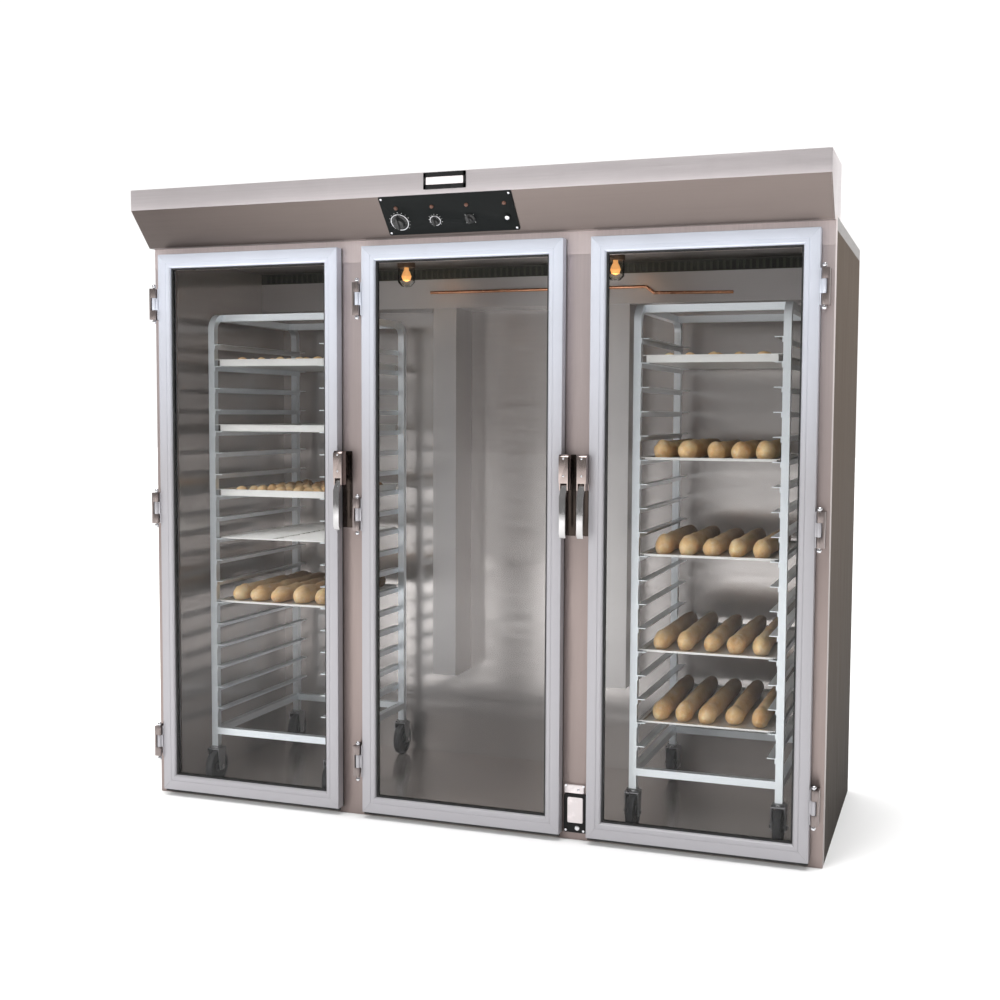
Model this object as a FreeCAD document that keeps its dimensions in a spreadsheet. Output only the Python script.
import FreeCAD, Part
import math
import os
import re

import Sketcher

# A three-door roll-in proofing cabinet, in millimetres.
# +X runs along the front to the right, +Y to the back and +Z up.
# The origin is on the floor, in the middle of the body's width and depth.

SIZES = {
    # body
    "body_half": 1213,
    "body_reach": 457,
    "body_top": 2029,
    "wall": 50,
    "roof_thick": 40,
    "header_height": 90,
    "post_depth": 50,
    "seal_lap": 20,
    "floor_thick": 12,
    "ramp_lip": 2,
    "skin": 2,
    # doors
    "door_pitch": 813,
    "door_width": 720,
    "door_foot": 24,
    "door_head": 1989,
    "door_back": 462,
    "door_thick": 38,
    "stile": 50,
    "bottom_rail": 55,
    "bead": 6,
    "bead_thick": 14,
    "glass_thick": 10,
    "gasket_width": 16,
    "gasket_thick": 4.7,
    "sweep_drop": 10,
    "sweep_thick": 12,
    # door hinges, measured from the hinge pin
    "pin_radius": 4,
    "running_gap": 0.05,
    "pin_beside": 14,
    "pin_ahead": 4,
    "knuckle_radius": 8,
    "hinge_height": 112,
    "knuckle_height": 44,
    "knuckle_gap": 0.5,
    "leaf_thick": 4,
    "leaf_deep": 32,
    "neck_deep": 8,
    "foot_start": 10,
    "foot_reach": 16,
    "arm_half": 7,
    "finial_radius": 7.5,
    "finial_lift": 7.8,
    "hinge_high": 1811,
    "hinge_middle": 1070,
    "hinge_low": 204,
    # door latches, measured from the door's free edge and its face
    "latch_nose": 32,
    "latch_lap": 2,
    "latch_proud": 32,
    "latch_sunk": 5,
    "latch_foot": 1173,
    "latch_cheek_top": 1196,
    "latch_head": 1290,
    "latch_chamfer": 8,
    "edge_plate": 3,
    "edge_plate_deep": 32,
    "cheek_thick": 4,
    "lever_gap": 0.3,
    "lever_pivot_out": 20,
    "lever_pivot_up": 1184,
    "lever_pin": 3,
    "lever_boss": 8,
    "grip_foot": 1018,
    "grip_head": 1154,
    "grip_out": 46,
    "grip_thick": 7,
    "grip_curl": 8,
    "strike_proud": 37,
    "strike_inset": 6,
    "strike_foot": 1205,
    "strike_head": 1275,
    "backing_foot": 1020,
    "backing_head": 1288,
    "backing_width": 38,
    "backing_thick": 3,
    # hood
    "hood_top": 2204,
    "hood_ahead": 144,
    "hood_behind": 137,
    "fascia_height": 71,
    "hood_lip": 34,
    "hood_foot": 2013,
    "cap_thick": 3,
    "knockout_radius": 11.1,
    "knockout_right": 900,
    "knockout_ahead": 60,
    # controls, on the hood's slanted face
    "panel_width": 465,
    "panel_height": 150,
    "panel_left": 17.5,
    "panel_up": 6.4,
    "panel_thick": 4,
    "panel_corner": 6,
    "knob_down": 16,
    "lamp_up": 37,
    "spindle_radius": 3,
    "spindle_start": 0.4,
    "knob_lift": 4.3,
    "knob_skirt": 3,
    "knob_shoulder": 6,
    "ridge_half": 2.5,
    "temperature_height": 24,
    "humidity_height": 20,
    "fan_height": 18,
    "temperature_right": -197,
    "humidity_right": -69,
    "fan_right": 53,
    "button_right": 183,
    "temperature_radius": 32.5,
    "humidity_radius": 20,
    "fan_radius": 17.5,
    "button_radius": 8,
    "button_gap": 0.3,
    "button_lift": 1,
    "button_out": 12,
    "bezel_radius": 12,
    "bezel_height": 8,
    "pilot_radius": 7,
    "plate_width": 148,
    "plate_height": 54,
    "plate_left": 12,
    "plate_up": 6.5,
    "plate_thick": 3,
    # service cover at the foot of the right-hand mullion
    "cover_width": 79,
    "cover_foot": 26,
    "cover_head": 195,
    "cover_thick": 12,
    "screw_radius": 4,
    "screw_height": 2.5,
    "screw_inset": 9,
    # air plenum, columns and humidity line
    "plenum_front": 225,
    "plenum_foot": 1834,
    "grille_foot": 1947,
    "grille_margin": 4,
    "grille_pitch": 24,
    "grille_slot": 16,
    "column_beside": 350,
    "column_half": 48.5,
    "column_front": 237,
    "column_foot": 372,
    "line_radius": 6,
    "line_bore": 5,
    "line_back": 216,
    "line_level": 1895,
    "line_left": 402,
    "line_turn": 465,
    "line_run": 495,
    "line_right": 790,
    "line_step": 23,
    "line_fall": 5,
    "line_clip": 12,
    # blower
    "blower_back": 340,
    "blower_level": 1905,
    "wheel_radius": 32,
    "wheel_width": 60,
    "blade_count": 20,
    "blade_thick": 1.5,
    "blade_depth": 9,
    "scroll_radius": 40,
    "scroll_inside": 37,
    "scroll_half": 36,
    "inlet_radius": 22,
    "shaft_radius": 4,
    "wheel_inset": 4,
    "shaft_reach": 20,
    "motor_gap": 6,
    "motor_radius": 30,
    "motor_length": 90,
    "foot_inset": 10,
    "foot_half": 20,
    "disc_thick": 3,
    # heater and humidity pan
    "element_radius": 4,
    "element_bend": 18,
    "element_pitch": 21,
    "element_left": 480,
    "element_right": 140,
    "pan_left": 180,
    "pan_right": 480,
    "pan_depth": 60,
    "pan_height": 45,
    # interior lamps
    "lamp_beside": 406.5,
    "lamp_ahead": 10,
    "lamp_base": 34,
    "lamp_base_height": 20,
    "bulb_foot": 72,
    "bulb_radius": 19,
    "bulb_neck": 9,
    "globe_foot": 94,
    "globe_radius": 32,
    # racks
    "rack_half_width": 244.5,
    "rack_front": 320,
    "rack_back": 315,
    "rack_top": 1786,
    "rack_post": 25,
    "hoop_foot": 1716,
    "hoop_bend": 60,
    "post_foot": 156,
    "bar_level": 215,
    "ledge_width": 28,
    "ledge_thick": 3,
    "ledge_web": 18,
    "ledge_top": 1672.5,
    "ledge_pitch": 80.5,
    "ledge_count": 18,
    "tray_half_width": 228.5,
    "tray_half_length": 330,
    "tray_rim": 12.5,
    "tray_height": 25,
    "sheet_height": 9,
    "wire": 6,
    "wire_count": 16,
    # casters
    "caster_radius": 63.5,
    "caster_half": 16,
    "caster_clear": 0.3,
    "axle_radius": 6,
    "fork_gap": 4,
    "fork_plate": 4,
    "fork_half": 26,
    "fork_toe": 13,
    "swivel_plate": 27,
    "race_radius": 21,
    "race_height": 8,
}

TRAY_SLOTS = {"right": (1,), "left": (1, 4, 7)}
SHEET_SLOTS = {"right": (5, 9, 13, 16), "left": (12,)}
SHELF_SLOT = 9

document = FreeCAD.newDocument("ProofingCabinet")
sheet = document.addObject("Spreadsheet::Sheet", "Size")
for row, (alias, value) in enumerate(SIZES.items(), start=1):
    sheet.set(f"A{row}", alias)
    sheet.set(f"B{row}", str(value))
    sheet.setAlias(f"B{row}", alias)
document.recompute()

sub_parts = []


def size(alias):
    """The number in one cell of the sheet."""
    return float(sheet.get(alias))


def in_cells(formula):
    """A formula in the sheet's own names, as an expression of the document."""
    return re.sub(r"[a-z_]+", lambda word: "Size." + word.group(0), str(formula))


def keep(piece):
    """Count a finished object as one sub-part."""
    sub_parts.append(piece)
    return piece


# ---------------------------------------------------------------- primitives

TURNS = {
    "x": FreeCAD.Rotation(FreeCAD.Vector(0, 1, 0), 90),
    "y": FreeCAD.Rotation(FreeCAD.Vector(1, 0, 0), -90),
    "z": FreeCAD.Rotation(),
}


def place(thing, x=0, y=0, z=0, turn=None):
    """Put an object at three formulas, turned if a rotation is given."""
    if turn is not None:
        thing.Placement = FreeCAD.Placement(FreeCAD.Vector(), turn)
    for axis, formula in zip("xyz", (x, y, z)):
        thing.setExpression(f"Placement.Base.{axis}", in_cells(formula))
    return thing


def slab(label, x, y, z):
    """A box that runs from a low to a high formula on each axis."""
    box = document.addObject("Part::Box", label)
    for side, (low, high) in zip(("Length", "Width", "Height"), (x, y, z)):
        box.setExpression(side, in_cells(f"({high}) - ({low})"))
    return place(box, x[0], y[0], z[0])


def rod(label, axis, start, radius, length):
    """A round bar that runs along +axis from its start."""
    bar = document.addObject("Part::Cylinder", label)
    bar.setExpression("Radius", in_cells(radius))
    bar.setExpression("Height", in_cells(length))
    return place(bar, *start, turn=TURNS[axis])


def ball(label, x, y, z, radius):
    """A round ball about its centre."""
    sphere = document.addObject("Part::Sphere", label)
    sphere.setExpression("Radius", in_cells(radius))
    return place(sphere, x, y, z)


def fuse(label, *pieces):
    """One solid out of several."""
    whole = document.addObject("Part::MultiFuse", label)
    whole.Shapes = list(pieces)
    return whole


def cut(label, base, *tools):
    """A base with one or more tools taken out of it."""
    piece = document.addObject("Part::Cut", label)
    piece.Base = base
    piece.Tool = tools[0] if len(tools) == 1 else fuse(label + "_tools", *tools)
    return piece


def group(label, pieces):
    """Separate solids that make one sub-part."""
    bundle = document.addObject("Part::Compound", label)
    bundle.Links = list(pieces)
    return bundle


def both(low_and_high):
    """The same stretch on both sides of zero: the left one, then the right one."""
    low, high = low_and_high
    return (f"-({high})", f"-({low})"), (low, high)


def beyond(edge, side, near, far):
    """The stretch from near to far past an edge, towards one side (1 or -1)."""
    if side > 0:
        return f"{edge} + ({near})", f"{edge} + ({far})"
    return f"{edge} - ({far})", f"{edge} - ({near})"


# ------------------------------------------------------------ sketched bodies

def sketch_on(body, role, name, lift=0):
    """An empty sketch on one of a body's own origin planes, lifted off it if asked."""
    plane = next(item for item in body.Origin.OriginFeatures if item.Role == role)
    sketch = body.newObject("Sketcher::SketchObject", name)
    sketch.AttachmentSupport = (plane, "")
    sketch.MapMode = "FlatFace"
    sketch.setExpression("AttachmentOffset.Base.z", in_cells(lift))
    return sketch


def pin_point(sketch, line, point, across, up, at):
    """Tie one point of a sketch to two formulas."""
    for kind, formula, guess in (("DistanceX", across, at.x), ("DistanceY", up, at.y)):
        number = sketch.addConstraint(Sketcher.Constraint(kind, -1, 1, line, point, guess))
        sketch.setExpression(f"Constraints[{number}]", in_cells(formula))


def outline(sketch, corners):
    """A closed outline with straight sides, its corners tied to formulas."""
    count = len(corners)
    first = sketch.GeometryCount
    turn = 2 * math.pi / count
    start = [FreeCAD.Vector(math.cos(turn * k), math.sin(turn * k), 0) for k in range(count)]
    for k in range(count):
        sketch.addGeometry(Part.LineSegment(start[k], start[(k + 1) % count]))
    for k in range(count):
        after = first + (k + 1) % count
        sketch.addConstraint(Sketcher.Constraint("Coincident", first + k, 2, after, 1))
    for k, (across, up) in enumerate(corners):
        pin_point(sketch, first + k, 1, across, up, start[k])


def circle(sketch, across, up, radius):
    """A circle with its centre and radius tied to formulas."""
    centre = FreeCAD.Vector(1, 1, 0)
    line = sketch.addGeometry(Part.Circle(centre, FreeCAD.Vector(0, 0, 1), 1))
    pin_point(sketch, line, 3, across, up, centre)
    number = sketch.addConstraint(Sketcher.Constraint("Radius", line, 1.0))
    sketch.setExpression(f"Constraints[{number}]", in_cells(radius))


def rectangle(across, up):
    """The corners of a rectangle between two low and high formulas."""
    (left, right), (low, high) = across, up
    return (left, low), (right, low), (right, high), (left, high)


def extrude(body, kind, sketch, length, backwards=False):
    """A pad or a pocket of one sketch."""
    feature = body.newObject(f"PartDesign::{kind}", f"{sketch.Name}_{kind.lower()}")
    feature.Profile = sketch
    feature.Reversed = backwards
    feature.setExpression("Length", in_cells(length))
    return feature


def side_profile(label, corners, x):
    """A body with one outline in Y and Z that runs from low to high along X."""
    body = document.addObject("PartDesign::Body", label)
    sketch = sketch_on(body, "YZ_Plane", label + "_side")
    outline(sketch, corners)
    extrude(body, "Pad", sketch, f"({x[1]}) - ({x[0]})")
    return place(body, x[0])


def front_profile(label, outlines, back, thick):
    """A body with outlines in X and Z that stands forward of its back face."""
    body = document.addObject("PartDesign::Body", label)
    sketch = sketch_on(body, "XZ_Plane", label + "_front")
    for corners in outlines:
        outline(sketch, corners)
    extrude(body, "Pad", sketch, thick)
    return place(body, 0, back)


def turned(label, corners):
    """A body of revolution about Z: the outline gives radius and height."""
    body = document.addObject("PartDesign::Body", label)
    sketch = sketch_on(body, "XZ_Plane", label + "_half")
    outline(sketch, corners)
    feature = body.newObject("PartDesign::Revolution", label + "_turn")
    feature.Profile = sketch
    feature.ReferenceAxis = (sketch, ["V_Axis"])
    feature.Angle = 360
    return body


def round_edges(body, base, radius, along, level=None):
    """Fillet the straight edges of a feature along one axis, at one level if it is given."""
    document.recompute()
    names = []
    for number, edge in enumerate(base.Shape.Edges, start=1):
        run = edge.Vertexes[-1].Point - edge.Vertexes[0].Point
        parallel = abs(getattr(run, along)) > 0.99 * run.Length > 0
        if parallel and (level is None or abs(edge.CenterOfMass.z - level) < 1):
            names.append(f"Edge{number}")
    fillet = body.newObject("PartDesign::Fillet", base.Name + "_round")
    fillet.Base = (base, names)
    fillet.setExpression("Radius", in_cells(radius))
    return fillet


# ------------------------------------------------------------ the carcass

BODY_WIDTH = ("-body_half", "body_half")
INSIDE_WIDTH = ("-body_half + wall", "body_half - wall")
INSIDE_FRONT = "-body_reach + post_depth"
INSIDE_BACK = "body_reach - wall"
ROOF_FOOT = "body_top - roof_thick"
HEADER_FOOT = "body_top - header_height"
MULLION_START = "door_width / 2 - seal_lap"
MULLION_END = "door_pitch - door_width / 2 + seal_lap"
JAMB_START = "door_pitch + door_width / 2 - seal_lap"


def build_floor():
    """The floor pan, with a low ramp in each of the three doorways."""
    pieces = [slab("floor_plate", INSIDE_WIDTH, (INSIDE_FRONT, INSIDE_BACK), (0, "floor_thick"))]
    corners = (
        ("-body_reach", 0),
        (INSIDE_FRONT, 0),
        (INSIDE_FRONT, "floor_thick"),
        ("-body_reach", "ramp_lip"),
    )
    middle = (f"-({MULLION_START})", MULLION_START)
    left, right = both((MULLION_END, JAMB_START))
    for name, stretch in (("left", left), ("middle", middle), ("right", right)):
        pieces.append(side_profile(f"{name}_ramp", corners, stretch))
    keep(fuse("floor_pan", *pieces))


def build_carcass():
    """Insulated side, back and roof panels, and the face frame that the doors close on."""
    build_floor()
    behind_face = (INSIDE_FRONT, "body_reach")
    face = ("-body_reach", INSIDE_FRONT)
    left, right = both(("body_half - wall", "body_half"))
    sides = [
        slab("left_side", left, behind_face, (0, ROOF_FOOT)),
        slab("right_side", right, behind_face, (0, ROOF_FOOT)),
    ]
    keep(group("side_panels", sides))
    keep(slab("back_panel", INSIDE_WIDTH, (INSIDE_BACK, "body_reach"), (0, ROOF_FOOT)))
    keep(slab("roof_panel", BODY_WIDTH, behind_face, (ROOF_FOOT, "body_top")))
    keep(slab("face_header", BODY_WIDTH, face, (HEADER_FOOT, "body_top")))
    posts = []
    for name, stretch in (
        ("jamb", (JAMB_START, "body_half")),
        ("mullion", (MULLION_START, MULLION_END)),
    ):
        for side, across in zip(("left", "right"), both(stretch)):
            posts.append(slab(f"{side}_{name}", across, face, (0, HEADER_FOOT)))
    keep(group("face_posts", posts))


# ------------------------------------------------------------ the hood

HOOD_FRONT = "-body_reach - hood_ahead"
HOOD_BACK = "-body_reach + hood_behind"
FASCIA_FOOT = "hood_top - fascia_height"
LIP = "-body_reach - hood_lip"
HOOD_OUTLINE = (
    ("-body_reach", "body_top"),
    ("-body_reach", "hood_foot"),
    (LIP, "hood_foot"),
    (HOOD_FRONT, FASCIA_FOOT),
    (HOOD_FRONT, "hood_top"),
    (HOOD_BACK, "hood_top"),
    (HOOD_BACK, "body_top"),
)
SLANT_RUN = size("hood_ahead") - size("hood_lip")
SLANT_RISE = size("hood_top") - size("fascia_height") - size("hood_foot")
SLANT_LENGTH = math.hypot(SLANT_RUN, SLANT_RISE)
LIP_FOLD = (SLANT_LENGTH - SLANT_RUN) / SLANT_RISE
FASCIA_FOLD = (SLANT_LENGTH - SLANT_RISE) / SLANT_RUN
HOOD_INSIDE = (
    ("-body_reach - skin", "body_top + skin"),
    ("-body_reach - skin", "hood_foot + skin"),
    (f"{LIP} + skin * {LIP_FOLD:.5f}", "hood_foot + skin"),
    (f"{HOOD_FRONT} + skin", f"{FASCIA_FOOT} + skin * {FASCIA_FOLD:.5f}"),
    (f"{HOOD_FRONT} + skin", "hood_top - skin"),
    (f"{HOOD_BACK} - skin", "hood_top - skin"),
    (f"{HOOD_BACK} - skin", "body_top + skin"),
)


def build_hood():
    """A folded sheet hood over the doors, its two end caps and its blank name plate."""
    inner = ("-body_half + cap_thick", "body_half - cap_thick")
    shell = side_profile("hood_shell", HOOD_OUTLINE, inner)
    inside = sketch_on(shell, "YZ_Plane", "hood_inside")
    outline(inside, HOOD_INSIDE)
    extrude(shell, "Pocket", inside, "2 * body_half", backwards=True)
    hole = sketch_on(shell, "XY_Plane", "hood_knockout", "hood_top")
    across = "knockout_right + body_half - cap_thick"
    circle(hole, across, "-body_reach + knockout_ahead", "knockout_radius")
    extrude(shell, "Pocket", hole, "2 * skin")
    keep(shell)
    caps = []
    for side, across in zip(("left", "right"), both(("body_half - cap_thick", "body_half"))):
        caps.append(side_profile(f"{side}_hood_cap", HOOD_OUTLINE, across))
    keep(group("hood_end_caps", caps))
    middle = f"{FASCIA_FOOT} + fascia_height / 2"
    plate = rectangle(
        ("-plate_left - plate_width / 2", "-plate_left + plate_width / 2"),
        (f"{middle} + plate_up - plate_height / 2", f"{middle} + plate_up + plate_height / 2"),
    )
    name_plate = front_profile("name_plate", (plate,), HOOD_FRONT, "plate_thick")
    round_edges(name_plate, name_plate.Tip, "plate_thick", "y")
    keep(name_plate)


# ------------------------------------------------------------ the controls

SLANT = FreeCAD.Rotation(
    FreeCAD.Vector(1, 0, 0),
    math.degrees(math.atan2(SLANT_RISE, -SLANT_RUN)),
)
SLANT_Y = "-body_reach - (hood_ahead + hood_lip) / 2"
SLANT_Z = "(hood_foot + hood_top - fascia_height) / 2"
CONTROLS = ("temperature", "humidity", "fan", "button")
KNOB_LEVEL = "-knob_down"


def on_slant(thing, across, up):
    """Place an object on the slanted face: its own Z points out of the face."""
    uphill = SLANT.multVec(FreeCAD.Vector(0, 1, 0))
    return place(
        thing,
        across,
        f"{SLANT_Y} + ({up}) * ({uphill.y:.6f})",
        f"{SLANT_Z} + ({up}) * ({uphill.z:.6f})",
        turn=SLANT,
    )


def build_control_panel():
    """The panel plate with its spindle holes and the raised collar of the lamp button."""
    panel = document.addObject("PartDesign::Body", "control_panel")
    plate = sketch_on(panel, "XY_Plane", "panel_plate")
    across = ("-panel_left - panel_width / 2", "-panel_left + panel_width / 2")
    up = ("panel_up - panel_height / 2", "panel_up + panel_height / 2")
    outline(plate, rectangle(across, up))
    base = extrude(panel, "Pad", plate, "panel_thick")
    round_edges(panel, base, "panel_corner", "z")
    collar = sketch_on(panel, "XY_Plane", "panel_collar")
    circle(collar, "button_right", KNOB_LEVEL, "bezel_radius")
    extrude(panel, "Pad", collar, "bezel_height")
    holes = sketch_on(panel, "XY_Plane", "panel_holes", "bezel_height")
    for name in CONTROLS:
        radius = "button_radius + button_gap" if name == "button" else "spindle_radius + running_gap"
        circle(holes, f"{name}_right", KNOB_LEVEL, radius)
    extrude(panel, "Pocket", holes, "bezel_height + 1")
    keep(on_slant(panel, 0, 0))


def build_knobs():
    """Three turned knobs with a finger ridge, and the push button of the inside lamps."""
    waist, face = 0.62, 0.56
    for name in ("temperature", "humidity", "fan"):
        radius, height = f"{name}_radius", f"{name}_height"
        corners = (
            (0, "spindle_start"),
            ("spindle_radius", "spindle_start"),
            ("spindle_radius", "knob_lift"),
            (radius, "knob_lift"),
            (radius, "knob_lift + knob_skirt"),
            (f"{radius} * {waist}", "knob_lift + knob_shoulder"),
            (f"{radius} * {face}", height),
            (0, height),
        )
        knob = turned(f"{name}_knob", corners)
        ridge = sketch_on(knob, "XY_Plane", f"{name}_ridge", "knob_lift + 2")
        outline(ridge, rectangle(("-ridge_half", "ridge_half"), (f"-{radius} * 0.5", f"{radius} * 0.9")))
        extrude(knob, "Pad", ridge, height)
        keep(on_slant(knob, f"{name}_right", KNOB_LEVEL))
    button = turned(
        "light_button",
        (
            (0, "button_lift + 3"),
            ("button_radius", "button_lift + 3"),
            ("button_radius", "button_out - 1"),
            ("button_radius - 1", "button_out"),
            (0, "button_out"),
        ),
    )
    keep(on_slant(button, "button_right", KNOB_LEVEL))


def build_pilot_lamps():
    """A pilot lamp lens above each control."""
    lenses = []
    for name in CONTROLS:
        lens = turned(
            f"{name}_pilot",
            (
                (0, "panel_thick"),
                ("pilot_radius", "panel_thick"),
                ("pilot_radius", "panel_thick + 2"),
                ("pilot_radius - 2", "panel_thick + 5"),
                (0, "panel_thick + 6"),
            ),
        )
        lenses.append(on_slant(lens, f"{name}_right", "lamp_up"))
    keep(group("pilot_lamps", lenses))


def build_service_cover():
    """The cover plate on the right-hand mullion, and the screws of cover and panel."""
    left = "(door_pitch - cover_width) / 2"
    across = (left, f"{left} + cover_width")
    up = ("cover_foot", "cover_head")
    cover = front_profile("service_cover", (rectangle(across, up),), "-body_reach", "cover_thick")
    round_edges(cover, cover.Tip, "panel_corner", "y")
    keep(cover)
    screws = []
    for k, (x, z) in enumerate((x, z) for x in (-1, 1) for z in (-1, 1)):
        middle_x = f"door_pitch / 2 + {x} * (cover_width / 2 - screw_inset)"
        middle_z = f"(cover_foot + cover_head) / 2 + {z} * ((cover_head - cover_foot) / 2 - screw_inset)"
        start = (middle_x, "-body_reach - cover_thick - screw_height", middle_z)
        screws.append(rod(f"cover_screw_{k + 1}", "y", start, "screw_radius", "screw_height"))
        screw = turned(
            f"panel_screw_{k + 1}",
            (
                (0, "panel_thick"),
                ("screw_radius", "panel_thick"),
                ("screw_radius", "panel_thick + 1"),
                (0, "panel_thick + screw_height"),
            ),
        )
        middle_x = f"-panel_left + {x} * (panel_width / 2 - screw_inset)"
        middle_up = f"panel_up + {z} * (panel_height / 2 - screw_inset)"
        screws.append(on_slant(screw, middle_x, middle_up))
    keep(group("panel_screws", screws))


# ------------------------------------------------------------ air, heat and humidity

def build_plenum():
    """The overhead air plenum, its finned grille and the two air columns."""
    corners = (
        ("plenum_front", "plenum_foot"),
        (INSIDE_BACK, "plenum_foot"),
        (INSIDE_BACK, "plenum_foot + skin"),
        ("plenum_front + skin", "plenum_foot + skin"),
        ("plenum_front + skin", "grille_foot"),
        ("plenum_front", "grille_foot"),
    )
    keep(side_profile("air_plenum", corners, INSIDE_WIDTH))
    grille = document.addObject("PartDesign::Body", "plenum_grille")
    sheet_sketch = sketch_on(grille, "XZ_Plane", "grille_sheet")
    outline(sheet_sketch, rectangle(INSIDE_WIDTH, ("grille_foot", ROOF_FOOT)))
    extrude(grille, "Pad", sheet_sketch, "skin")
    slot_sketch = sketch_on(grille, "XZ_Plane", "grille_slot")
    first = "-body_half + wall + grille_pitch"
    up = ("grille_foot + grille_margin", f"{ROOF_FOOT} - grille_margin")
    slot = rectangle((first, f"{first} + grille_slot"), up)
    outline(slot_sketch, slot)
    pocket = extrude(grille, "Pocket", slot_sketch, "skin + 1", backwards=True)
    row = grille.newObject("PartDesign::LinearPattern", "grille_row")
    row.Originals = [pocket]
    row.Direction = (slot_sketch, ["H_Axis"])
    pitch = size("grille_pitch")
    inside = 2 * (size("body_half") - size("wall"))
    row.Occurrences = int((inside - pitch) // pitch)
    row.Length = (row.Occurrences - 1) * pitch
    grille.Tip = row
    keep(place(grille, 0, "plenum_front + skin"))
    columns = []
    for name, side in (("left", -1), ("right", 1)):
        middle = f"{side} * column_beside"
        outer = slab(
            f"{name}_column_outer",
            (f"{middle} - column_half", f"{middle} + column_half"),
            ("column_front", INSIDE_BACK),
            ("column_foot", "plenum_foot"),
        )
        hollow = slab(
            f"{name}_column_hollow",
            (f"{middle} - column_half + skin", f"{middle} + column_half - skin"),
            ("column_front + skin", f"{INSIDE_BACK} + 1"),
            ("column_foot + skin", "plenum_foot + 1"),
        )
        columns.append(cut(f"{name}_column", outer, hollow))
    keep(group("duct_columns", columns))


def pipe_through(points, radius):
    """A round bar through a row of points, with a ball at each bend."""
    shape = None
    for start, end in zip(points, points[1:]):
        run = end - start
        leg = Part.makeCylinder(radius, run.Length, start, run)
        if shape is not None:
            leg = leg.fuse(Part.makeSphere(radius, start))
        shape = leg if shape is None else shape.fuse(leg)
    return shape


def build_humidity():
    """The copper humidity line along the plenum, and the water pan that feeds it."""
    line = document.addObject("Part::Feature", "steam_pipe")
    step, end_wall = size("line_step"), FreeCAD.Vector(size("skin"), 0, 0)
    left_end = FreeCAD.Vector(-size("line_left"), 0, 0)
    upper_bend = FreeCAD.Vector(size("line_turn"), 0, 0)
    lower_bend = FreeCAD.Vector(size("line_run"), 0, -step)
    right_end = FreeCAD.Vector(size("line_right"), 0, -step - size("line_fall"))
    tube = pipe_through((left_end, upper_bend, lower_bend, right_end), size("line_radius"))
    run_inside = (left_end + end_wall, upper_bend, lower_bend, right_end - end_wall)
    clips = []
    for across in (left_end.x / 2, upper_bend.x / 2, upper_bend.x - 2 * size("line_clip")):
        corner = FreeCAD.Vector(across, 0, -size("line_bore"))
        reach = size("plenum_front") - size("line_back")
        clips.append(Part.makeBox(size("line_clip"), reach, 2 * size("line_bore"), corner))
    tube = tube.fuse(clips)
    line.Shape = tube.cut(pipe_through(run_inside, size("line_bore")))
    keep(place(line, 0, "line_back", "line_level"))
    back = (f"{INSIDE_BACK} - pan_depth - skin", f"{INSIDE_BACK} - skin")
    foot = "plenum_foot + skin"
    outer = slab("pan_outer", ("pan_left", "pan_right"), back, (foot, f"{foot} + pan_height"))
    hollow = slab(
        "pan_hollow",
        ("pan_left + skin", "pan_right - skin"),
        (f"{back[0]} + skin", f"{back[1]} - skin"),
        (f"{foot} + skin", f"{foot} + pan_height + 1"),
    )
    keep(cut("humidity_pan", outer, hollow))


def hairpin(left, right, bend, radius):
    """One heating rod: out along X, round a half turn and back."""
    up, out = FreeCAD.Vector(0, 0, bend), FreeCAD.Vector(1, 0, 0)
    length = right - left
    shape = Part.makeCylinder(radius, length, up, out)
    shape = shape.fuse(Part.makeCylinder(radius, length, -up, out))
    half = Part.makeTorus(bend, radius, FreeCAD.Vector(), FreeCAD.Vector(0, 1, 0))
    reach = bend + 2 * radius
    keep_left = Part.makeBox(reach, 2 * reach, 2 * reach, FreeCAD.Vector(-reach, -reach, -reach))
    return shape.fuse(half.common(keep_left)).removeSplitter()


def build_heater():
    """Heating rods bent into hairpins, one beside the other in the plenum."""
    elements = document.addObject("Part::Feature", "heater_elements")
    left, right = -size("element_left"), -size("element_right")
    radius = size("element_radius")
    rod_shape = hairpin(left, right, size("element_bend"), radius)
    rods = []
    for k in (-1, 0, 1):
        copy = rod_shape.copy()
        copy.translate(FreeCAD.Vector(0, k * size("element_pitch"), 0))
        rods.append(copy)
    elements.Shape = Part.makeCompound(rods)
    keep(place(elements, "-element_left", "blower_back", "blower_level"))


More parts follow.
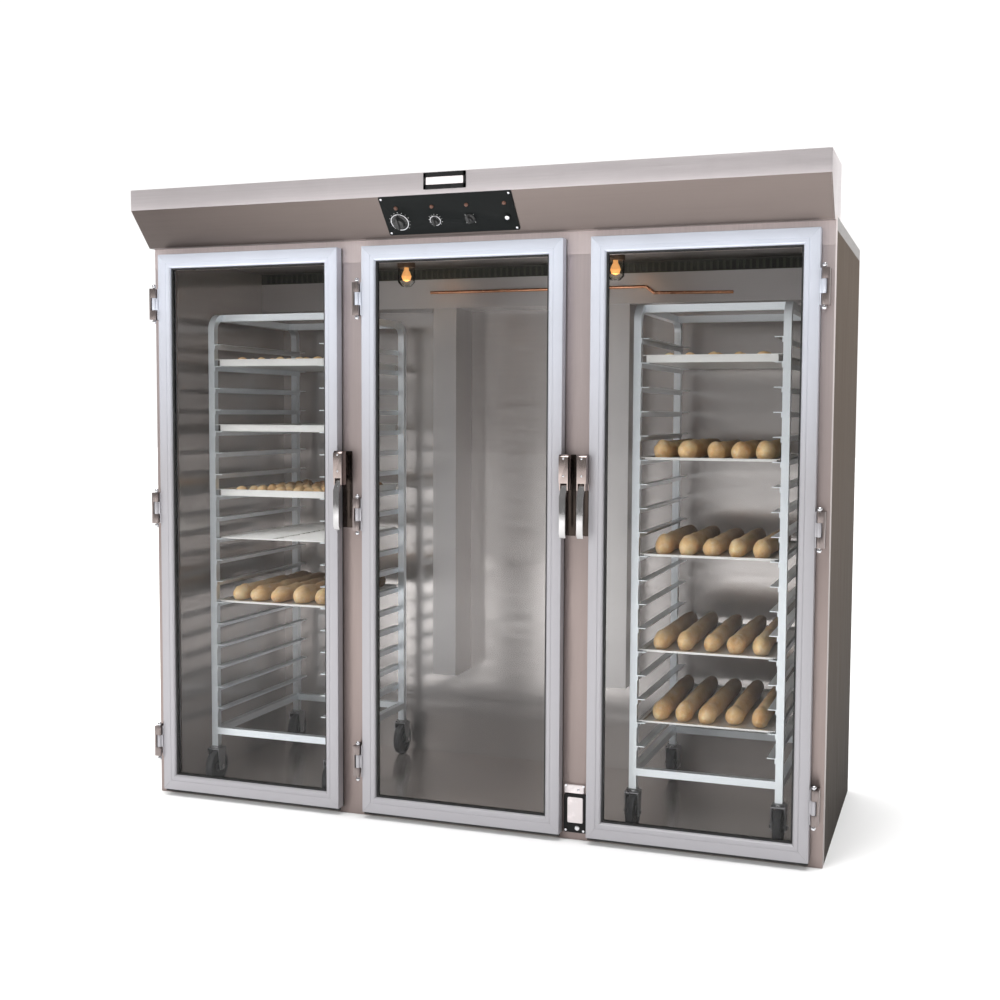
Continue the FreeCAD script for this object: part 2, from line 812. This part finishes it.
def build_blower():
    """Blower housing, motor with its shaft, and the bladed wheel that it turns."""
    centre = ("blower_back", "blower_level")
    outer = rod("scroll_outer", "x", ("-scroll_half", *centre), "scroll_radius", "2 * scroll_half")
    inner_length = "2 * scroll_half - 2 * skin"
    inner = rod("scroll_inner", "x", ("-scroll_half + skin", *centre), "scroll_inside", inner_length)
    inlet = rod("scroll_inlet", "x", ("-scroll_half - 1", *centre), "inlet_radius", "2 * scroll_half + 2")
    outlet = slab(
        "scroll_outlet",
        ("-scroll_half + 2 * skin", "scroll_half - 2 * skin"),
        ("blower_back - inlet_radius", "blower_back + inlet_radius"),
        ("blower_level - scroll_radius - 1", "blower_level"),
    )
    stands = []
    for name, side in (("front", -1), ("rear", 1)):
        stand_y = beyond("blower_back", side, "inlet_radius + skin", "scroll_inside")
        stand_z = ("plenum_foot + skin", "blower_level - inlet_radius")
        stands.append(slab(f"scroll_{name}_stand", ("-scroll_half", "scroll_half"), stand_y, stand_z))
    body = fuse("scroll_on_stands", outer, *stands)
    keep(cut("blower_housing", body, inner, inlet, outlet))
    can_start = "scroll_half + motor_gap"
    can = rod("motor_can", "x", (can_start, *centre), "motor_radius", "motor_length")
    shaft_start = ("-wheel_width / 2 + wheel_inset", *centre)
    shaft_length = "scroll_half + wheel_width / 2 + shaft_reach"
    shaft = rod("motor_shaft", "x", shaft_start, "shaft_radius", shaft_length)
    foot = slab(
        "motor_foot",
        (f"{can_start} + foot_inset", f"{can_start} + motor_length - foot_inset"),
        ("blower_back - foot_half", "blower_back + foot_half"),
        ("plenum_foot + skin", "blower_level - motor_radius / 2"),
    )
    keep(fuse("blower_motor", can, shaft, foot))
    wheel = document.addObject("PartDesign::Body", "blower_wheel")
    disc = sketch_on(wheel, "XY_Plane", "wheel_disc", "-disc_thick / 2")
    circle(disc, 0, 0, "wheel_radius")
    extrude(wheel, "Pad", disc, "disc_thick")
    hub = sketch_on(wheel, "XY_Plane", "wheel_hub", "-wheel_width / 4")
    circle(hub, 0, 0, "shaft_radius * 2.5")
    extrude(wheel, "Pad", hub, "wheel_width / 2")
    blade = sketch_on(wheel, "XY_Plane", "wheel_blade", "-wheel_width / 2 + 1")
    across = ("wheel_radius - blade_depth + 1", "wheel_radius - 1")
    outline(blade, rectangle(across, ("-blade_thick / 2", "blade_thick / 2")))
    blade_pad = extrude(wheel, "Pad", blade, "wheel_width - 2")
    fan = wheel.newObject("PartDesign::PolarPattern", "wheel_blades")
    fan.Originals = [blade_pad]
    fan.Axis = (blade, ["N_Axis"])
    fan.Angle = 360
    fan.Occurrences = int(size("blade_count"))
    wheel.Tip = fan
    for name, level in (("front", "-wheel_width / 2"), ("back", "wheel_width / 2 - disc_thick")):
        ring = sketch_on(wheel, "XY_Plane", f"wheel_{name}_ring", level)
        circle(ring, 0, 0, "wheel_radius")
        circle(ring, 0, 0, "wheel_radius - blade_depth")
        extrude(wheel, "Pad", ring, "disc_thick")
    bore = sketch_on(wheel, "XY_Plane", "wheel_bore", "wheel_width")
    circle(bore, 0, 0, "shaft_radius + running_gap")
    extrude(wheel, "Pocket", bore, "2 * wheel_width")
    keep(place(wheel, 0, *centre, turn=TURNS["x"]))


def build_lamps():
    """Two ceiling lamps in line with the mullions: base, bulb and glass globe."""
    profiles = {
        "lamp_bases": (
            (0, "-lamp_base_height"),
            ("lamp_base", "-lamp_base_height"),
            ("lamp_base", "-2 * skin"),
            ("lamp_base - 3 * skin", 0),
            (0, 0),
        ),
        "lamp_bulbs": (
            (0, "-bulb_foot"),
            ("bulb_radius * 0.74", "-bulb_foot + bulb_radius * 0.26"),
            ("bulb_radius", "-bulb_foot + bulb_radius"),
            ("bulb_radius * 0.74", "-bulb_foot + bulb_radius * 1.8"),
            ("bulb_neck", "-lamp_base_height - bulb_neck"),
            ("bulb_neck", "-lamp_base_height"),
            (0, "-lamp_base_height"),
        ),
        "lamp_globes": (
            (0, "-globe_foot"),
            ("globe_radius * 0.56", "-globe_foot + globe_radius * 0.1"),
            ("globe_radius", "-globe_foot + globe_radius * 0.56"),
            ("globe_radius", "-lamp_base_height"),
            ("globe_radius - skin", "-lamp_base_height"),
            ("globe_radius - skin", "-globe_foot + globe_radius * 0.62"),
            ("globe_radius * 0.52", "-globe_foot + globe_radius * 0.18"),
            (0, "-globe_foot + 1.5 * skin"),
        ),
    }
    for label, corners in profiles.items():
        pair = []
        for name, side in (("left", -1), ("right", 1)):
            piece = turned(f"{name}_{label}", corners)
            pair.append(place(piece, f"{side} * lamp_beside", "-lamp_ahead", ROOF_FOOT))
        keep(group(label, pair))


# ------------------------------------------------------------ the doors

# name, place along the front in door pitches, and the side of the free edge
DOORS = (("left_door", -1, 1), ("middle_door", 0, 1), ("right_door", 1, -1))
HINGE_LEVELS = ("hinge_high", "hinge_middle", "hinge_low")
DOOR_FACE = "-door_back - door_thick"
PIN_Y = f"{DOOR_FACE} - pin_ahead"
LEVER_Y = f"{DOOR_FACE} - lever_pivot_out"


def mitred_rails(door, across, up, widths):
    """Four rails that meet on their mitres: left, bottom, right and top."""
    (left, right), (low, high) = across, up
    stile, foot, head = widths
    outer = ((left, low), (right, low), (right, high), (left, high))
    inner = (
        (f"{left} + {stile}", f"{low} + {foot}"),
        (f"{right} - {stile}", f"{low} + {foot}"),
        (f"{right} - {stile}", f"{high} - {head}"),
        (f"{left} + {stile}", f"{high} - {head}"),
    )
    rails = []
    for k, name in enumerate(("bottom_rail", "right_stile", "top_rail", "left_stile")):
        after = (k + 1) % 4
        corners = (outer[k], outer[after], inner[after], inner[k])
        rails.append(front_profile(f"{door}_{name}", (corners,), "-door_back", "door_thick"))
    return rails, ((inner[0][0], inner[1][0]), (inner[0][1], inner[2][1]))


def frame_of(across, up, width):
    """An outer and an inner rectangle, one width apart."""
    (left, right), (low, high) = across, up
    within = ((f"{left} + {width}", f"{right} - {width}"), (f"{low} + {width}", f"{high} - {width}"))
    return rectangle(across, up), rectangle(*within)


def build_door_leaf(door, centre):
    """Frame, glass and seals of one door."""
    across = (f"{centre} - door_width / 2", f"{centre} + door_width / 2")
    up = ("door_foot", "door_head")
    rails, opening = mitred_rails(door, across, up, ("stile", "bottom_rail", "stile"))
    keep(group(f"{door}_frame", rails))
    (left, right), (low, high) = opening
    middle = "-door_back - door_thick / 2"
    glass = slab(
        f"{door}_glass",
        (f"{left} + bead", f"{right} - bead"),
        (f"{middle} - glass_thick / 2", f"{middle} + glass_thick / 2"),
        (f"{low} + bead", f"{high} - bead"),
    )
    keep(glass)
    bead = front_profile(
        f"{door}_glazing_bead",
        frame_of(*opening, "bead"),
        f"{middle} + bead_thick / 2",
        "bead_thick",
    )
    gasket = front_profile(
        f"{door}_gasket",
        frame_of(across, up, "gasket_width"),
        "-door_back + gasket_thick",
        "gasket_thick",
    )
    sweep = slab(
        f"{door}_sweep",
        (f"{across[0]} + 2", f"{across[1]} - 2"),
        (f"{middle} - sweep_thick / 2", f"{middle} + sweep_thick / 2"),
        ("door_foot - sweep_drop", "door_foot"),
    )
    keep(group(f"{door}_seals", (bead, gasket, sweep)))


def hinge_spans(level):
    """The three heights of a hinge: lower knuckle, middle knuckle and upper knuckle."""
    low, high = f"{level} - hinge_height / 2", f"{level} + hinge_height / 2"
    middle = (f"{level} - knuckle_height / 2", f"{level} + knuckle_height / 2")
    lower = (low, f"{middle[0]} - knuckle_gap")
    upper = (f"{middle[1]} + knuckle_gap", high)
    return lower, middle, upper


def knuckle(label, pin_x, span, bore):
    """A round knuckle about the hinge pin."""
    length = f"({span[1]}) - ({span[0]})"
    barrel = rod(label + "_barrel", "z", (pin_x, PIN_Y, span[0]), "knuckle_radius", length)
    hole = rod(label + "_hole", "z", (pin_x, PIN_Y, span[0]), bore, length)
    return barrel, hole


def build_door_leaf_of_hinge(name, pin_x, free, middle, whole):
    """The half of a hinge that is fixed on the door's edge and turns about the pin."""
    barrel, hole = knuckle(f"{name}_leaf", pin_x, middle, "pin_radius + running_gap")
    neck_x = beyond(pin_x, free, 0, "pin_beside")
    neck = slab(f"{name}_neck", neck_x, (PIN_Y, f"{PIN_Y} + neck_deep"), middle)
    plate_x = beyond(pin_x, free, "pin_beside - leaf_thick", "pin_beside")
    plate = slab(f"{name}_plate", plate_x, (DOOR_FACE, f"{DOOR_FACE} + leaf_deep"), whole)
    return cut(f"{name}_leaf", fuse(f"{name}_leaf_solid", barrel, neck, plate), hole)


def build_frame_leaf(name, pin_x, free, ends, whole):
    """The half of a hinge that stands on the face frame and holds the pin at both ends."""
    foot_x = beyond(pin_x, -free, "foot_start", "foot_reach")
    parts = [slab(f"{name}_foot", foot_x, (f"{PIN_Y} - arm_half", "-body_reach"), whole)]
    holes = []
    for end_name, span in ends:
        barrel, hole = knuckle(f"{name}_{end_name}", pin_x, span, "pin_radius")
        arm_x = beyond(pin_x, -free, 0, "foot_reach")
        arm_y = (f"{PIN_Y} - arm_half", f"{PIN_Y} + arm_half")
        parts += [barrel, slab(f"{name}_{end_name}_arm", arm_x, arm_y, span)]
        holes.append(hole)
    return cut(f"{name}_frame_leaf", fuse(f"{name}_frame_solid", *parts), *holes)


def build_hinges(door, pin_x, free):
    """The door leaves of one door's hinges; returns the frame leaves and the pins."""
    leaves, feet, pins = [], [], []
    for level in HINGE_LEVELS:
        name = f"{door}_{level}"
        lower, middle, upper = hinge_spans(level)
        whole = (lower[0], upper[1])
        leaves.append(build_door_leaf_of_hinge(name, pin_x, free, middle, whole))
        ends = (("lower", lower), ("upper", upper))
        feet.append(build_frame_leaf(name, pin_x, free, ends, whole))
        foot, head = f"{whole[0]} - finial_lift", f"{whole[1]} + finial_lift"
        shank_length = "hinge_height + 2 * finial_lift"
        shank = rod(f"{name}_shank", "z", (pin_x, PIN_Y, foot), "pin_radius", shank_length)
        lower_ball = ball(f"{name}_lower_ball", pin_x, PIN_Y, foot, "finial_radius")
        upper_ball = ball(f"{name}_upper_ball", pin_x, PIN_Y, head, "finial_radius")
        pins.append(fuse(f"{name}_pin", shank, lower_ball, upper_ball))
    keep(group(f"{door}_hinge_leaves", leaves))
    return feet, pins


def build_latch_case(door, edge, free):
    """The latch body on the door's edge, with two cheeks and the pin that the lever turns on."""
    case_front, case_back = f"{DOOR_FACE} - latch_proud", f"{DOOR_FACE} + latch_sunk"
    case = side_profile(
        f"{door}_latch_case",
        (
            (case_back, "latch_cheek_top"),
            (case_back, "latch_head"),
            (f"{case_front} + latch_chamfer", "latch_head"),
            (case_front, "latch_head - latch_chamfer"),
            (case_front, "latch_cheek_top"),
        ),
        beyond(edge, free, 0, "latch_nose"),
    )
    plate = slab(
        f"{door}_edge_plate",
        beyond(edge, free, 0, "edge_plate"),
        (DOOR_FACE, f"{DOOR_FACE} + edge_plate_deep"),
        ("latch_foot", "latch_head"),
    )
    cheeks = []
    for name, near, far in (
        ("inner", "latch_lap", "latch_lap + cheek_thick"),
        ("outer", "latch_nose - cheek_thick", "latch_nose"),
    ):
        cheek_x = beyond(edge, free, near, far)
        cheek_z = ("latch_foot", "latch_cheek_top")
        cheeks.append(slab(f"{door}_{name}_cheek", cheek_x, (case_front, case_back), cheek_z))
    pin_x = beyond(edge, free, "latch_lap", "latch_nose")
    pin_start = (pin_x[0], LEVER_Y, "lever_pivot_up")
    pivot = rod(f"{door}_latch_pin", "x", pin_start, "lever_pin", "latch_nose - latch_lap")
    keep(fuse(f"{door}_latch", case, plate, *cheeks, pivot))


def build_lever(door, edge, free):
    """The pull lever of one latch: a boss on the pin and a curled grip that hangs from it."""
    near = "latch_lap + cheek_thick + lever_gap"
    far = "latch_nose - cheek_thick - lever_gap"
    across = beyond(edge, free, near, far)
    length = f"({far}) - ({near})"
    start = (across[0], LEVER_Y, "lever_pivot_up")
    boss = rod(f"{door}_lever_boss", "x", start, "lever_boss", length)
    front = f"{DOOR_FACE} - grip_out"
    back = f"{front} + grip_thick"
    neck = side_profile(
        f"{door}_lever_neck",
        (
            (f"{LEVER_Y} - lever_boss * 0.9", "lever_pivot_up"),
            (front, "grip_head"),
            (back, "grip_head - grip_thick"),
            (f"{LEVER_Y} + lever_boss * 0.5", "lever_pivot_up - lever_boss * 0.6"),
        ),
        across,
    )
    grip = side_profile(
        f"{door}_lever_grip",
        (
            (front, "grip_head"),
            (front, "grip_foot + 2 * grip_curl"),
            (f"{front} + grip_curl", "grip_foot"),
            (f"{back} + grip_curl", "grip_foot + grip_thick / 3"),
            (back, "grip_foot + 2 * grip_curl"),
            (back, "grip_head - grip_thick"),
        ),
        across,
    )
    hole = rod(f"{door}_lever_hole", "x", start, "lever_pin + running_gap", length)
    keep(cut(f"{door}_lever", fuse(f"{door}_lever_solid", boss, neck, grip), hole))


def build_strike(door, edge, free):
    """The strike on the face frame behind one latch, on its backing plate."""
    block = slab(
        f"{door}_strike_block",
        beyond(edge, free, "strike_inset", "latch_nose - strike_inset"),
        ("-body_reach - strike_proud", "-body_reach"),
        ("strike_foot", "strike_head"),
    )
    backing = slab(
        f"{door}_strike_backing",
        beyond(edge, free, "lever_gap", "backing_width"),
        ("-body_reach - backing_thick", "-body_reach"),
        ("backing_foot", "backing_head"),
    )
    return fuse(f"{door}_strike", block, backing)


def build_doors():
    """Three glazed doors with their hinges, latches and the hardware on the face frame."""
    frame_leaves, pins, strikes = [], [], []
    for door, place_along, free in DOORS:
        centre = f"{place_along} * door_pitch"
        build_door_leaf(door, centre)
        hinge_edge = f"{centre} - {free} * door_width / 2"
        feet, door_pins = build_hinges(door, f"{hinge_edge} - {free} * pin_beside", free)
        frame_leaves += feet
        pins += door_pins
        free_edge = f"{centre} + {free} * door_width / 2"
        build_latch_case(door, free_edge, free)
        build_lever(door, free_edge, free)
        strikes.append(build_strike(door, free_edge, free))
    keep(group("hinge_frame_leaves", frame_leaves))
    keep(group("hinge_pins", pins))
    keep(group("latch_strikes", strikes))


# ------------------------------------------------------------ the racks

def ledge_level(slot):
    """The top of one pair of ledges, counted down from the highest."""
    return f"ledge_top - {slot} * ledge_pitch"


def build_ledge(label, post_x, side, slot):
    """One angle ledge on the inner side of a front and a rear post."""
    half = "rack_post / 2"
    level = ledge_level(slot)
    stretch = (f"-rack_front - {half}", f"rack_back + {half}")
    shelf_x = beyond(post_x, -side, half, f"{half} + ledge_width")
    shelf = slab(f"{label}_shelf", shelf_x, stretch, (f"{level} - ledge_thick", level))
    web_x = beyond(post_x, -side, half, f"{half} + ledge_thick")
    web = slab(f"{label}_web", web_x, stretch, (f"{level} - ledge_web", level))
    return fuse(label, shelf, web)


def build_rack_frame(rack, middle):
    """Posts, top hoops, cross bars and ledges of one rack."""
    half = "rack_post / 2"
    front, back = "-rack_front", "rack_back"
    pieces = []
    ends = (("front", front), ("rear", back))
    for side_name, side in (("left", -1), ("right", 1)):
        post_x = f"{middle} + {side} * rack_half_width"
        across = (f"{post_x} - {half}", f"{post_x} + {half}")
        for end_name, y in ends:
            label = f"{rack}_{side_name}_{end_name}_post"
            stretch = (f"{y} - {half}", f"{y} + {half}")
            pieces.append(slab(label, across, stretch, ("post_foot", "hoop_foot")))
        pieces.append(build_hoop(f"{rack}_{side_name}_hoop", across))
        between = (f"{front} + {half}", f"{back} - {half}")
        low = ("bar_level - rack_post / 2", "bar_level + rack_post / 2")
        pieces.append(slab(f"{rack}_{side_name}_foot_rail", across, between, low))
        for slot in range(int(size("ledge_count"))):
            pieces.append(build_ledge(f"{rack}_{side_name}_ledge_{slot + 1}", post_x, side, slot))
    inside = (f"{middle} - rack_half_width + {half}", f"{middle} + rack_half_width - {half}")
    for end_name, y, shift in (("front", front, 1), ("rear", back, -1)):
        stretch = (f"{y} - {half}", f"{y} + {half}")
        low = ("bar_level - rack_post / 2", "bar_level + rack_post / 2")
        pieces.append(slab(f"{rack}_{end_name}_foot_bar", inside, stretch, low))
        set_in = (f"{y} + {shift} * hoop_bend - {half}", f"{y} + {shift} * hoop_bend + {half}")
        high = ("rack_top - rack_post", "rack_top")
        pieces.append(slab(f"{rack}_{end_name}_top_bar", inside, set_in, high))
    keep(group(f"{rack}_frame", pieces))


def build_hoop(label, across):
    """The top of one side frame: two bends and the rail between them."""
    half = "rack_post / 2"
    low, high = "hoop_foot", "rack_top"
    outer = (f"-rack_front - {half}", f"rack_back + {half}")
    inner = (f"-rack_front + {half}", f"rack_back - {half}")
    corners = (
        (outer[0], low),
        (outer[0], high),
        (outer[1], high),
        (outer[1], low),
        (inner[1], low),
        (inner[1], f"{high} - rack_post"),
        (inner[0], f"{high} - rack_post"),
        (inner[0], low),
    )
    hoop = side_profile(label, corners, across)
    top = size("rack_top")
    bend = round_edges(hoop, hoop.Tip, "hoop_bend - 0.1", "x", top)
    round_edges(hoop, bend, "hoop_bend - rack_post", "x", top - size("rack_post"))
    return hoop


def tray(label, middle, level, height):
    """One sheet pan or baking sheet: a shallow open box with a flat rim."""
    back = "tray_half_length - (rack_front - rack_back) / 2"
    front = "-tray_half_length - (rack_front - rack_back) / 2"
    x_rim = (f"{middle} - tray_half_width", f"{middle} + tray_half_width")
    x_box = (f"{x_rim[0]} + tray_rim", f"{x_rim[1]} - tray_rim")
    y_rim = (front, back)
    y_box = (f"{front} + tray_rim", f"{back} - tray_rim")
    top = f"{level} + {height}"
    box = slab(f"{label}_box", x_box, y_box, (level, top))
    rim = slab(f"{label}_rim", x_rim, y_rim, (f"{top} - skin", top))
    hollow = slab(
        f"{label}_hollow",
        (f"{x_box[0]} + skin", f"{x_box[1]} - skin"),
        (f"{y_box[0]} + skin", f"{y_box[1]} - skin"),
        (f"{level} + skin", f"{top} + 1"),
    )
    return cut(label, fuse(f"{label}_solid", box, rim), hollow)


def wire_shelf(label, middle, level):
    """A flat welded grid that stands on one pair of ledges."""
    x = (f"{middle} - tray_half_width + tray_rim", f"{middle} + tray_half_width - tray_rim")
    y = ("-rack_front", "rack_back")
    wires = []
    for k, edge in enumerate((x[0], f"{middle} - wire / 2", f"{x[1]} - wire")):
        stretch = (edge, f"{edge} + wire")
        wires.append(slab(f"{label}_long_{k + 1}", stretch, y, (level, f"{level} + wire")))
    count = int(size("wire_count"))
    for k in range(count):
        start = f"-rack_front + (rack_front + rack_back - wire) * {k} / {count - 1}"
        stretch = (start, f"{start} + wire")
        wires.append(slab(f"{label}_cross_{k + 1}", x, stretch, (level, f"{level} + wire")))
    return fuse(label, *wires)


def build_trays(rack, side, middle):
    """The sheet pans and low baking sheets of one rack, and the wire shelf of the left one."""
    trays = []
    for height, slots in (("tray_height", TRAY_SLOTS[side]), ("sheet_height", SHEET_SLOTS[side])):
        for slot in slots:
            trays.append(tray(f"{rack}_tray_{slot}", middle, ledge_level(slot), height))
    if side == "left":
        trays.append(wire_shelf(f"{rack}_shelf", middle, ledge_level(SHELF_SLOT)))
    keep(group(f"{rack}_trays", trays))


def wheel_outline():
    """Half of a caster wheel's section: bore, hub, web and tread, from one face to the other."""
    one_face = (
        ("axle_radius + running_gap", "caster_half"),
        ("caster_radius * 0.3", "caster_half"),
        ("caster_radius * 0.34", "caster_half * 0.5"),
        ("caster_radius * 0.72", "caster_half * 0.5"),
        ("caster_radius * 0.78", "caster_half * 0.9"),
        ("caster_radius * 0.95", "caster_half * 0.8"),
        ("caster_radius", "caster_half * 0.3"),
    )
    other_face = tuple((radius, f"-{height}") for radius, height in one_face)
    return other_face + one_face[::-1]


def build_casters(rack, middle):
    """Four casters: forks with their axles on the rack, wheels in front and rear pairs."""
    hub_level = "floor_thick + caster_clear + caster_radius"
    forks = []
    for end_name, y in (("front", "-rack_front"), ("rear", "rack_back")):
        wheels = []
        for side_name, side in (("left", -1), ("right", 1)):
            name = f"{rack}_{end_name}_{side_name}"
            hub_x = f"{middle} + {side} * rack_half_width"
            forks.append(build_fork(name, hub_x, y, hub_level))
            wheel = turned(f"{name}_wheel", wheel_outline())
            wheels.append(place(wheel, hub_x, y, hub_level, turn=TURNS["x"]))
        keep(group(f"{rack}_{end_name}_wheels", wheels))
    keep(group(f"{rack}_caster_forks", forks))


def build_fork(name, hub_x, y, hub_level):
    """One caster fork: two tapered cheeks, crown plate, swivel race, stem and axle."""
    inside = "caster_half + fork_gap"
    outside = f"{inside} + fork_plate"
    crown = f"{hub_level} + caster_radius + fork_gap"
    toe = f"{hub_level} - fork_toe"
    cheek = (
        (f"{y} - fork_half", crown),
        (f"{y} - fork_toe", toe),
        (f"{y} + fork_toe", toe),
        (f"{y} + fork_half", crown),
    )
    parts = []
    for cheek_name, side in (("left", -1), ("right", 1)):
        across = beyond(hub_x, side, inside, outside)
        parts.append(side_profile(f"{name}_{cheek_name}_cheek", cheek, across))
    plate_x = (f"{hub_x} - ({outside})", f"{hub_x} + {outside}")
    plate_y = (f"{y} - swivel_plate", f"{y} + swivel_plate")
    race_foot = f"{crown} + fork_plate"
    parts.append(slab(f"{name}_plate", plate_x, plate_y, (crown, race_foot)))
    parts.append(rod(f"{name}_race", "z", (hub_x, y, race_foot), "race_radius", "race_height"))
    stem_length = f"post_foot - ({race_foot})"
    parts.append(rod(f"{name}_stem", "z", (hub_x, y, race_foot), "rack_post / 2 - 1", stem_length))
    axle_start = (f"{hub_x} - ({outside})", y, hub_level)
    parts.append(rod(f"{name}_axle", "x", axle_start, "axle_radius", f"2 * ({outside})"))
    return fuse(f"{name}_fork", *parts)


def build_racks():
    """A rack in the left-hand and in the right-hand bay."""
    for side, place_along in (("left", -1), ("right", 1)):
        rack = f"{side}_rack"
        middle = f"{place_along} * door_pitch"
        build_rack_frame(rack, middle)
        build_trays(rack, side, middle)
        build_casters(rack, middle)


# ------------------------------------------------------------ check and write

def check_document():
    """Stop if any object failed or any sub-part has no sound shape."""
    for thing in document.Objects:
        if {"Invalid", "Error"} & set(thing.State):
            raise RuntimeError(f"{thing.Label} did not compute: {thing.State}")
    for piece in sub_parts:
        if piece.Shape.isNull() or not piece.Shape.isValid() or not piece.Shape.Solids:
            raise RuntimeError(f"{piece.Label} has no valid solid")


def write_parts():
    """Write each sub-part to its own file, named by its label."""
    os.makedirs("parts", exist_ok=True)
    for piece in sub_parts:
        piece.Shape.exportStep(f"parts/{piece.Label}.step")
        print(f"{piece.Label}: {len(piece.Shape.Solids)} solids, {piece.Shape.Volume / 1000:.1f} cm3")


build_carcass()
build_hood()
build_control_panel()
build_knobs()
build_pilot_lamps()
build_service_cover()
build_plenum()
build_humidity()
build_heater()
build_blower()
build_lamps()
build_doors()
build_racks()
document.recompute()
check_document()
write_parts()
print(f"{len(sub_parts)} sub-parts")
